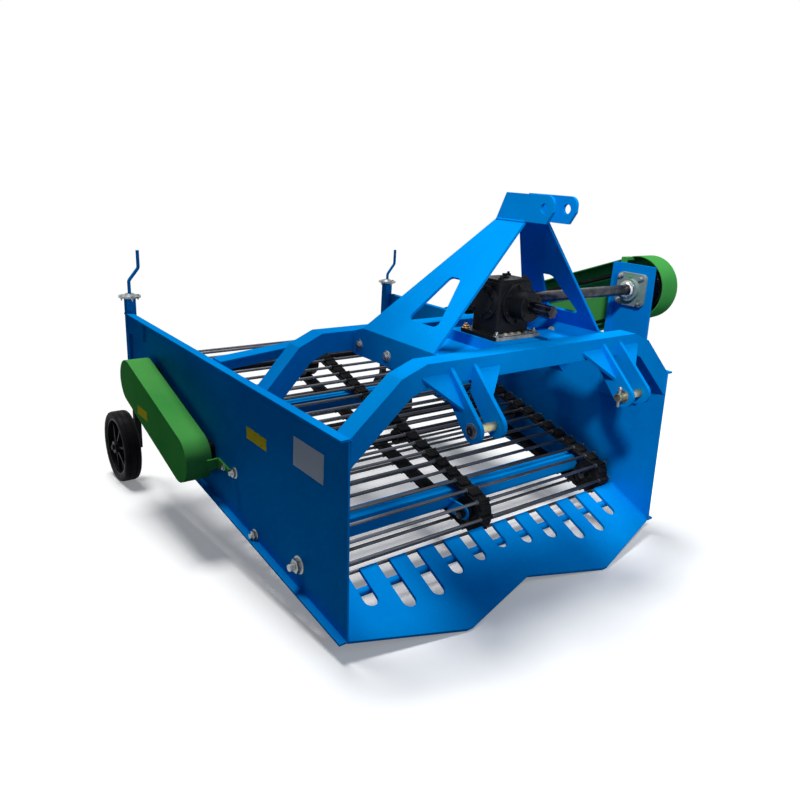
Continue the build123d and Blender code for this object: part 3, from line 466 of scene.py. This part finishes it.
def loop_path(c1, r1, c2, r2):
    """A tight band round two circles: its length, and a call that gives the point and the outward
    direction at a distance along it."""
    along = atan2(c2[1] - c1[1], c2[0] - c1[0])
    gap = hypot(c2[0] - c1[0], c2[1] - c1[1])
    off = acos((r1 - r2) / gap)
    run = sqrt(gap ** 2 - (r1 - r2) ** 2)
    arc2 = r2 * 2 * off
    arc1 = r1 * 2 * (pi - off)
    total = 2 * run + arc1 + arc2

    def at(s):
        # a is the outward direction's angle, t the share of the way from circle 1 to circle 2
        s = s % total
        if s < run:
            a, t = along + off, s / run
        elif s < run + arc2:
            a, t = along + off - (s - run) / r2, 1.0
        elif s < 2 * run + arc2:
            a, t = along - off, 1.0 - (s - run - arc2) / run
        else:
            a, t = along - off - (s - 2 * run - arc2) / r1, 0.0
        out = (cos(a), sin(a))
        here = [p + r1 * o + t * (q - p + (r2 - r1) * o) for p, q, o in zip(c1, c2, out)]
        return here, out
    return total, at


def rounded(half_a, half_b, corner, steps=3):
    """Points of a rounded rectangle's outline."""
    made = []
    for k, (sa, sb) in enumerate(((1, 1), (-1, 1), (-1, -1), (1, -1))):
        for j in range(steps + 1):
            a = pi / 2 * (k + j / steps)
            made.append((
                sa * (half_a - corner) + corner * cos(a), sb * (half_b - corner) + corner * sin(a),
            ))
    return made


# Conveyor: round rods, with a sleeve and two collars where a rod crosses a belt
COLLAR_R = ROD_R + 2.6
COLLAR_W = 5.0
COLLAR_EDGE = 1.2
SLEEVE_R = ROD_R + 1.4
ROD_TIP = 2.0
ROD_TIP_DROP = 0.2 * ROD_R
ROD_SIDES = 16
SLEEVE_SIDES = 14
rod_loop, rod_at = loop_path(IDLER, IDLER_R + ROD_LIFT, DRIVE, DRIVE_R + ROD_LIFT)
rod_count = round(rod_loop / ROD_PITCH)
rod_bar = chamfered(2 * ROD_END, ROD_R, ROD_TIP, ROD_TIP_DROP)
sleeve_bar = [(0, SLEEVE_R), (WEB_W - 2 * COLLAR_W, SLEEVE_R)]
collar_bar = chamfered(COLLAR_W, COLLAR_R, COLLAR_EDGE, COLLAR_EDGE)
rods = Draft()
sleeves = Draft()
collars = Draft()
for i in range(rod_count):
    (x, z), _ = rod_at(rod_loop * i / rod_count)
    rods.turned((x, -ROD_END, z), LEFT, rod_bar, ROD_SIDES)
    for y in WEB_ROWS:
        low, high = y - WEB_W / 2, y + WEB_W / 2
        sleeves.turned((x, low + COLLAR_W, z), LEFT, sleeve_bar, SLEEVE_SIDES)
        for start in (low, high - COLLAR_W):
            collars.turned((x, start, z), LEFT, collar_bar, SLEEVE_SIDES)
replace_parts(rods.done("round_rods", "rod_steel"), "web_rods")
sleeves.done("rod_sleeves", "belt_rubber")
collars.done("rod_collars", "rod_steel")

# A ridged pad on each belt between two rods: (height over the belt, inset) of its levels, and
# (height, half width) of a ridge's levels
PAD_HALF_L = 15.0
PAD_HALF_W = 23.0
PAD_CORNER = 5.0
PAD_LEVELS = ((-2.0, 0.0), (6.0, 0.0), (8.0, 0.9), (9.0, 2.8))
RIDGES = (-8.5, 0.0, 8.5)
RIDGE_LEVELS = ((8.2, 2.6), (10.2, 2.4), (11.2, 1.4))
RIDGE_HALF_L = PAD_HALF_W - 3.4
RIDGE_CORNER = 1.2
RIDGE_STEPS = 2
pads = Draft()
belt_loop, belt_at = loop_path(IDLER, IDLER_R + WEB_T, DRIVE, DRIVE_R + WEB_T)


def on_belt(spot, y, outline, lift, shift=0.0):
    """Points of an outline laid on a belt at a spot of its loop, lifted and moved along it."""
    (x, z), (nx, nz) = spot
    return [
        (x + (a + shift) * nz + lift * nx, y + b, z - (a + shift) * nx + lift * nz)
        for a, b in outline
    ]


for i in range(rod_count):
    spot = belt_at(belt_loop * (i + 0.5) / rod_count)
    for y in WEB_ROWS:
        rings = []
        for lift, inset in PAD_LEVELS:
            outline = rounded(PAD_HALF_L - inset, PAD_HALF_W - inset, PAD_CORNER - 0.5 * inset)
            rings.append(pads.ring(on_belt(spot, y, outline, lift)))
        pads.loft(rings)
        for shift in RIDGES:
            rings = []
            for lift, half in RIDGE_LEVELS:
                outline = rounded(half, RIDGE_HALF_L, RIDGE_CORNER, RIDGE_STEPS)
                rings.append(pads.ring(on_belt(spot, y, outline, lift, shift)))
            pads.loft(rings)
pads.done("belt_pads", "belt_rubber")

# Front idlers: a rim, a hub ring and ribs on each face, and nuts on the axles. Faces and nuts are
# (y, way they point), the rim and the hub a profile of (height over the face, radius) and its
# sides, a rib's outline (radius, offset).
IDLER_FACES = ((-575, 1), (-25, -1), (25, 1), (575, -1))
IDLER_NUTS = ((-563, 1), (-56, -1), (56, 1), (563, -1))
IDLER_NUT = 15
IDLER_RINGS = (
    (((0, 42), (0, 51), (3, 50), (3, 43)), 48),
    (((0, 16), (0, 27), (5, 25), (5, 16)), 36),
)
IDLER_RIB = ((24, -3), (45, -3), (45, 3), (24, 3))
IDLER_RIB_COUNT = 6
IDLER_RIB_SINK = 0.5
IDLER_RIB_T = 3.2
faces = Draft()
nuts = Draft()
for y, way in IDLER_FACES:
    for profile, sides in IDLER_RINGS:
        faces.lathe_y(IDLER, [(y + s * way, r) for s, r in profile], sides)
    for a in circle(IDLER_RIB_COUNT):
        foot = y - IDLER_RIB_SINK * way
        faces.prism([
            (IDLER[0] + r * cos(a) - t * sin(a), foot, IDLER[1] + r * sin(a) + t * cos(a))
            for r, t in IDLER_RIB
        ], (0, IDLER_RIB_T * way, 0))
for y, way in IDLER_NUTS:
    nuts.bolt((IDLER[0], y, IDLER[1]), (0, way, 0), size=IDLER_NUT, washer=False)
faces.done("idler_faces", "black_casting")
nuts.done("idler_nuts", "steel")

# Bolts of the frame: place, way it points, size, threaded end
HEAD_TURN = 0.3
FRAME_BOLTS = (
    # Mast rails
    ((-416, -343, 103), RIGHT, 13, 0),
    ((-275, -343, 101), RIGHT, 13, 0),
    ((-416, 343, 103), LEFT, 13, 0),
    ((-275, 343, 101), LEFT, 13, 0),
    ((-264, 335, 116), RIGHT, 13, 6),
    ((-264, -335, 116), LEFT, 13, 6),
    # Right side plate, its guard and the idler axle
    ((-630, -PLATE_OUT, -327), RIGHT, 15.5, 8),
    ((-490, -PLATE_OUT, -480), RIGHT, 15.5, 8),
    ((-701, -657, -334), RIGHT, 9, 0),
    ((IDLER[0], -PLATE_OUT, IDLER[1]), RIGHT, 22, 16),
    # Left side plate, the idler axle and the shaft bracket
    ((-630, PLATE_OUT, -327), LEFT, 15.5, 8),
    ((-490, PLATE_OUT, -480), LEFT, 15.5, 8),
    ((IDLER[0], PLATE_OUT, IDLER[1]), LEFT, 22, 16),
    ((-240, 651, 326), LEFT, 8.5, 0),
)

# Bolts in rows: on the bearings' flanges, the gearbox foot's front and the posts' caps
SHAFT_FLANGE_Y = 620
SHAFT_FLANGE_BOLT = 42
PLATE_FLANGE_Y = 664
PLATE_FLANGE_BOLT = 36
FOOT_X = -117
FOOT_Y = 76
FOOT_Z = 167
CAP_BOLT = 33
CAP_TOP = 64
CAP_UNDER = 57
bolts = Draft()
for at, axis, size, stud in FRAME_BOLTS:
    bolts.bolt(at, axis, size, stud=stud, turn=HEAD_TURN)
for side_x in WAYS:
    for side_z in WAYS:
        x, z = SHAFT[0] + side_x * SHAFT_FLANGE_BOLT, SHAFT[1] + side_z * SHAFT_FLANGE_BOLT
        bolts.bolt((x, SHAFT_FLANGE_Y, z), RIGHT, size=9, stud=6)
        for way in WAYS:
            for cx, cz in (DRIVE, AGITATOR):
                x, z = cx + side_x * PLATE_FLANGE_BOLT, cz + side_z * PLATE_FLANGE_BOLT
                bolts.bolt((x, way * PLATE_FLANGE_Y, z), (0, way, 0), size=7.5, washer=False)
for way in WAYS:
    bolts.bolt((FOOT_X, way * FOOT_Y, FOOT_Z), UP, size=9, stud=7)
    for side_x, side_y in ((1, 0), (-1, 0), (0, 1), (0, -1)):
        x, y = POST_X + side_x * CAP_BOLT, way * POST_Y + side_y * CAP_BOLT
        bolts.bolt((x, y, CAP_TOP), UP, size=5.5, washer=False)
        bolts.bolt((x, y, CAP_UNDER), DOWN, size=6, stud=7)
bolts.done("plate_bolts", "zinc")

# Gearbox: bolts and a plug on its lid, bolts on its three covers and on the front boss's end
LID_Z = 323
LID_BOLT = (34, 49)
LID_PLUG = ((0, 13), (4, 13), (5, 12), (5, 8), (11, 8), (12, 7))
FRONT_COVER_X = -118
FRONT_COVER_BOLT = 50
SIDE_COVER_Y = 79
SIDE_COVER_BOLT = 42
COVER_BOLTS = 6
BOSS_X = -65
BOSS_BOLT = 33
BOSS_BOLTS = 4
studs = Draft()
for side_x in WAYS:
    for side_y in WAYS:
        at = (SHAFT[0] + side_x * LID_BOLT[0], side_y * LID_BOLT[1], LID_Z)
        studs.bolt(at, UP, size=8, stud=5)
for a in circle(COVER_BOLTS, pi / COVER_BOLTS):
    at = (FRONT_COVER_X, FRONT_COVER_BOLT * cos(a), SHAFT[1] + FRONT_COVER_BOLT * sin(a))
    studs.bolt(at, FORWARD, size=6, washer=False)
    x, z = SHAFT[0] + SIDE_COVER_BOLT * cos(a), SHAFT[1] + SIDE_COVER_BOLT * sin(a)
    for way in WAYS:
        studs.bolt((x, way * SIDE_COVER_Y, z), (0, way, 0), size=5.5, washer=False)
studs.turned((SHAFT[0], 0, LID_Z), UP, LID_PLUG, sides=24)
for a in circle(BOSS_BOLTS, pi / BOSS_BOLTS):
    at = (BOSS_X, BOSS_BOLT * cos(a), SHAFT[1] + BOSS_BOLT * sin(a))
    studs.bolt(at, FORWARD, size=3.6, washer=False)
studs.done("gearbox_bolts", "black_casting")

# Worn strips on top and front of the gearbox foot with four buttons, bronze nuts, a shaft seal
STRIP_TOP = 169
STRIPS = (
    ((-128, -62, 166.5), (-107, 62, STRIP_TOP)),
    ((-105.5, -88, 156), (-102.5, 88, 166)),
)
BUTTONS = (-40, -14, 14, 40)
BUTTON = ((0, 6.5), (3, 6.2), (4.5, 4.5), (5, 2))
BRONZE_NUTS = ((-247, FOOT_Y, FOOT_Z), (-92, 318, 123))
BRONZE_TURN = 0.2
SHAFT_SEAL = ((109, 18.6), (109, 30), (111.5, 29), (111.5, 18.6))
strip = Draft()
for low, high in STRIPS:
    strip.block(low, high)
for y in BUTTONS:
    strip.turned((FOOT_X, y, STRIP_TOP), UP, BUTTON, sides=16)
strip.done("foot_strip", "zinc", "worn_strip")
bronze = Draft()
for x, y, z in BRONZE_NUTS:
    for way in WAYS:
        bronze.bolt((x, way * y, z), UP, size=10, stud=6, turn=BRONZE_TURN)
bronze.done("deck_nuts", "yellow_zinc", "bronze_plate")
gland = Draft()
gland.lathe_y(SHAFT, SHAFT_SEAL, sides=40)
gland.done("shaft_seal", "belt_rubber")

# Bright race and locking collar of the shaft bearing with its set screw, and a green grease cap
RACE = (
    (604.5, 18.5), (604.5, 31), (602.5, 31), (601.5, 26), (595, 25), (593, 23), (593, 18.5),
)
SET_SCREW = ((0, 3.2), (3.5, 3.2), (4.2, 2.4))
SET_SCREW_AT = (SHAFT[0] + 9, 598.5, SHAFT[1] + 22.5)
SET_SCREW_AXIS = (0.37, 0, 0.93)
GREASE_CAP = ((0, 3.2), (4, 3.2), (4, 5), (9, 5), (11, 3.8))
GREASE_CAP_AT = (SHAFT[0], 612, SHAFT[1] + 37)
race = Draft()
race.lathe_y(SHAFT, RACE, sides=48)
race.turned(SET_SCREW_AT, SET_SCREW_AXIS, SET_SCREW, sides=12)
race.done("bearing_collar", "zinc", "bright_steel")
cap = Draft()
cap.turned(GREASE_CAP_AT, UP, GREASE_CAP, sides=16)
cap.done("grease_cap", "green_paint")

# Lower link pins: a washer on each, a linchpin through the left pin's tail, a dark end on the right
PIN = (100, 0)
PIN_WASHERS = ((-352, -354.6), (260, 257.4))
PIN_R = 12.4
PIN_WASHER_R = 20
LINCHPIN = ((0, 2.8), (5, 4.6), (52, 4.6), (54, 6.2), (60, 6.2), (63, 4))
LINCHPIN_AT = (PIN[0], 240, -30)
PIN_END = ((0, 14), (2.4, 14), (3.4, 12.5), (3.4, 5), (2.2, 4))
PIN_END_AT = (PIN[0], -354.5, PIN[1])
pins = Draft()
for near, far in PIN_WASHERS:
    ring = [(near, PIN_R), (near, PIN_WASHER_R), (far, PIN_WASHER_R), (far, PIN_R)]
    pins.lathe_y(PIN, ring, sides=36)
pins.turned(LINCHPIN_AT, UP, LINCHPIN, sides=16)
pins.done("pin_hardware", "zinc")
tip = Draft()
tip.turned(PIN_END_AT, RIGHT, PIN_END, sides=32)
tip.done("pin_tip", "steel")


def blade_top(x):
    """Height of the blade's upper face."""
    return BLADE_AT[1] - (x - BLADE_AT[0]) * tan(BLADE_SLOPE)


# Weld beads: a double one down each face of the lower lugs, then the beads that both sides have,
# as both ends (y counted outward), radius and length of a scale
LUG_FACES = (-352, -260, 260, 352)
LUG_BEADS = (-0.5, 0.5)
LUG_BEAD_R = 3.2
LUG_X = 1.5
LUG_SPAN = (66, 136)
SEAMS = (
    ((-62, 344, 74), (-62, 344, 150), 3.0, WELD_STEP),
    ((-441, 344, 74), (-441, 344, 136), 3.0, WELD_STEP),
    ((-188, 50.5, 490), (-82, 50.5, 490), 3.2, 8.0),
    ((0.5, 642.5, -76), (0.5, 642.5, -3), 3.2, WELD_STEP),
    ((-60.5, 642.5, -76), (-60.5, 642.5, -3), 3.2, WELD_STEP),
    ((-444.5, 642.5, -106), (-444.5, 642.5, -24), 3.2, WELD_STEP),
    ((-505.5, 642.5, -106), (-505.5, 642.5, -24), 3.2, WELD_STEP),
    ((-736, 642, -3), (-794, 642, -3), 3.0, WELD_STEP),
    ((-146, 642.5, blade_top(-146) + 1), (20, 642.5, blade_top(20) + 1), 3.4, WELD_STEP),
    ((-257, 329, 72), (-104, 329, 72), 2.6, WELD_STEP),
    ((-1618, 659, -8), (-1618, 659, -82), 2.6, WELD_STEP),
)
seams = Draft()
for y in LUG_FACES:
    for shift in LUG_BEADS:
        start, end = [(LUG_X, y + shift, z) for z in LUG_SPAN]
        seams.weld(start, end, LUG_BEAD_R)
for way in WAYS:
    for (xa, ya, za), (xb, yb, zb), radius, step in SEAMS:
        seams.weld((xa, way * ya, za), (xb, way * yb, zb), radius, step)
seams.done("weld_beads", "blue_paint", sharp=WELD_SHARP_ANGLE)

# Blank labels on the right side plate: name, look, x span, z span
LABEL_T = 0.6
LABELS = (
    ("yellow_label", "yellow_sign", (-543, -416), (-180, -143)),
    ("white_label", "white_sign", (-260, -106), (-161, -78)),
)
for name, look, (x0, x1), (z0, z1) in LABELS:
    label = Draft()
    label.block((x0, -PLATE_OUT - LABEL_T, z0), (x1, -PLATE_OUT, z1))
    label.done(name, None, look)

# Tyres with a flat grooved tread, side steps and a bead, which stand for the plain CAD tyres, ribs
# on both sides of each rim's web, and a nut on the axle. A tyre's half is (y, radius) from the bead
# to the tread's middle.
TYRE_HALF = (
    (29.5, 120.3), (31, 124), (33, 131), (33, 136), (32.2, 137), (32.2, 139), (33, 140),
    (32.6, 144), (29.5, 147.6), (24, 149.2), (15, 149.7), (14, 147), (11, 147), (10, 149.8),
)
TYRE = [(-y, r) for y, r in TYRE_HALF] + [(y, r) for y, r in reversed(TYRE_HALF)]
TYRE_SIDES = 96
RIB_COUNT = 6
RIB_START = 0.2
RIB_SPAN = (24, 114)
RIB_TALL = (21, 9)
RIB_FOOT = 3.5
RIB_T = 8
AXLE_END = 744
for side, way in (("right", -1), ("left", 1)):
    middle = way * WHEEL[1]
    tyre = Draft()
    tyre.lathe_y((WHEEL[0], WHEEL[2]), [(middle + y, r) for y, r in TYRE], TYRE_SIDES)
    made = tyre.done("ribbed_tyre_" + side, "tyre", body="wheel_" + side)
    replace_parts(made, "tyre_" + side)
    spokes = Draft()
    for a in circle(RIB_COUNT, RIB_START):
        along = Vector((-sin(a), 0, cos(a)))
        inner, outer = [Vector((cos(a), 0, sin(a))) * reach for reach in RIB_SPAN]
        for face in WAYS:
            foot = Vector((WHEEL[0], middle + face * RIB_FOOT, WHEEL[2])) - along * (RIB_T / 2)
            rise_inner, rise_outer = [Vector((0, face * tall, 0)) for tall in RIB_TALL]
            spokes.prism([
                foot + inner, foot + outer, foot + outer + rise_outer, foot + inner + rise_inner,
            ], along * RIB_T)
    spokes.done("rim_ribs_" + side, "black_paint", body="wheel_" + side)
    end = Draft()
    at = (WHEEL[0], way * AXLE_END, WHEEL[2])
    end.bolt(at, (0, way, 0), size=12, washer=False, turn=HEAD_TURN)
    end.done("axle_nut_" + side, "black_paint", body="leg_" + side)

# Floor and world
FLOOR_HALF = 40.0
FLOOR_TONES = ((0.92, 0.92, 0.92), (0.94, 0.94, 0.94))
FLOOR_BACK_LIGHT = (0.05, 0.06, 0.09)
FLOOR_GLOW = 0.24
SKY_LIGHT = (0.45, 0.66, 1.0, 1.0)
SKY_STRENGTH = 0.07


def background_rays(tree):
    """Factor that is 1 for the rays that see the background, 0 for the light it throws back."""
    path = tree.nodes.new("ShaderNodeLightPath")
    either = path.outputs["Is Camera Ray"]
    for name in ("Is Glossy Ray", "Is Transmission Ray"):
        either = combined(tree, "MAXIMUM", either, path.outputs[name])
    return either


def floor_nodes(tree, shader):
    """Pale studio floor with a faint change of tone, which throws little light on the object."""
    tone = mixed(tree, clouds(tree, 0.7, (0.3, 0.7)), *FLOOR_TONES)
    seen_by = background_rays(tree)
    tree.links.new(mixed(tree, seen_by, FLOOR_BACK_LIGHT, tone), shader.inputs["Base Color"])
    tree.links.new(mixed(tree, seen_by, (0.0, 0.0, 0.0), tone), shader.inputs["Emission Color"])
    shader.inputs["Emission Strength"].default_value = FLOOR_GLOW
    shader.inputs["Roughness"].default_value = 0.9
    shader.inputs["Specular IOR Level"].default_value = 0.0


floor_mesh = bpy.data.meshes.new("floor")
floor_mesh.from_pydata(
    [(FLOOR_HALF * x, FLOOR_HALF * y, 0) for x, y in ((-1, -1), (1, -1), (1, 1), (-1, 1))],
    [], [(0, 1, 2, 3)],
)
floor = bpy.data.objects.new("floor", floor_mesh)
bpy.context.scene.collection.objects.link(floor)
floor_mesh.materials.append(material("floor_pale", floor_nodes))

world = bpy.data.worlds.new("studio")
bpy.context.scene.world = world
world.use_nodes = True
sky = world.node_tree
back = sky.nodes["Background"]
back.inputs["Color"].default_value = SKY_LIGHT
back.inputs["Strength"].default_value = SKY_STRENGTH
seen = node(sky, "ShaderNodeBackground", Color=(*WHITE, 1.0), Strength=1.0)
pick = sky.nodes.new("ShaderNodeMixShader")
sky.links.new(background_rays(sky), pick.inputs["Fac"])
sky.links.new(back.outputs["Background"], pick.inputs[1])
sky.links.new(seen.outputs["Background"], pick.inputs[2])
sky.links.new(pick.outputs["Shader"], sky.nodes["World Output"].inputs["Surface"])

# Lamps: a high soft sun, a weak cool fill from the front, and a spot on the mast and the left plate
SUNNY = (1.0, 0.99, 0.97)
COOL = (0.60, 0.80, 1.0)
SPOT_BLEND = 0.5
SPOT_ON = (-100.0, 290.0, 230.0)
SPOT_FROM = (3.1, -3.3, 3.3)


def lamp(name, kind, at, target, power, colour, size, cone=0.0):
    """A soft lamp aimed at a point; size is an area's side, a spot's radius or the sun's angle."""
    data = bpy.data.lights.new(name, kind)
    if kind == "SUN":
        data.angle = size
    elif kind == "SPOT":
        data.shadow_soft_size = size
        data.spot_size = cone
        data.spot_blend = SPOT_BLEND
    else:
        data.size = size
    data.energy = power
    data.color = colour
    made = bpy.data.objects.new(name, data)
    made.location = at
    made.rotation_euler = (Vector(target) - Vector(at)).to_track_quat("-Z", "Y").to_euler()
    bpy.context.scene.collection.objects.link(made)


lamp("key", "SUN", (-1.3, -0.1, 5.9), (0.0, 0.0, 0.0), power=2.6, colour=SUNNY, size=radians(20.0))
lamp("fill", "AREA", (4.6, 0.9, 2.2), (0.4, 0.0, 0.5), power=46.0, colour=COOL, size=4.0)
accent = PLACE @ Vector(SPOT_ON)
lamp(
    "accent", "SPOT", accent + Vector(SPOT_FROM), accent, power=980.0, colour=SUNNY, size=0.24,
    cone=radians(14.5),
)

# Camera, solved from the photo in the machine frame
EYE = Vector((1292.9, -1520.7, 607.0))
YAW = 0.6661
TILT = 0.3128
ROLL = 0.0588
SENSOR = 36.0
FOCAL = 32.101
ahead = Vector((-cos(YAW) * cos(TILT), sin(YAW) * cos(TILT), -sin(TILT)))
level = ahead.cross(Vector(UP)).normalized()
above = level.cross(ahead)
across = cos(ROLL) * level + sin(ROLL) * above
upward = cos(ROLL) * above - sin(ROLL) * level
lens = bpy.data.cameras.new("camera")
lens.sensor_width = SENSOR
lens.lens = FOCAL
camera = bpy.data.objects.new("camera", lens)
aim = Matrix((across, upward, -ahead)).transposed().to_4x4()
camera.matrix_world = Matrix.Translation(PLACE @ EYE) @ TURN @ aim
bpy.context.scene.collection.objects.link(camera)
bpy.context.scene.camera = camera
bpy.context.scene.view_settings.view_transform = "Standard"
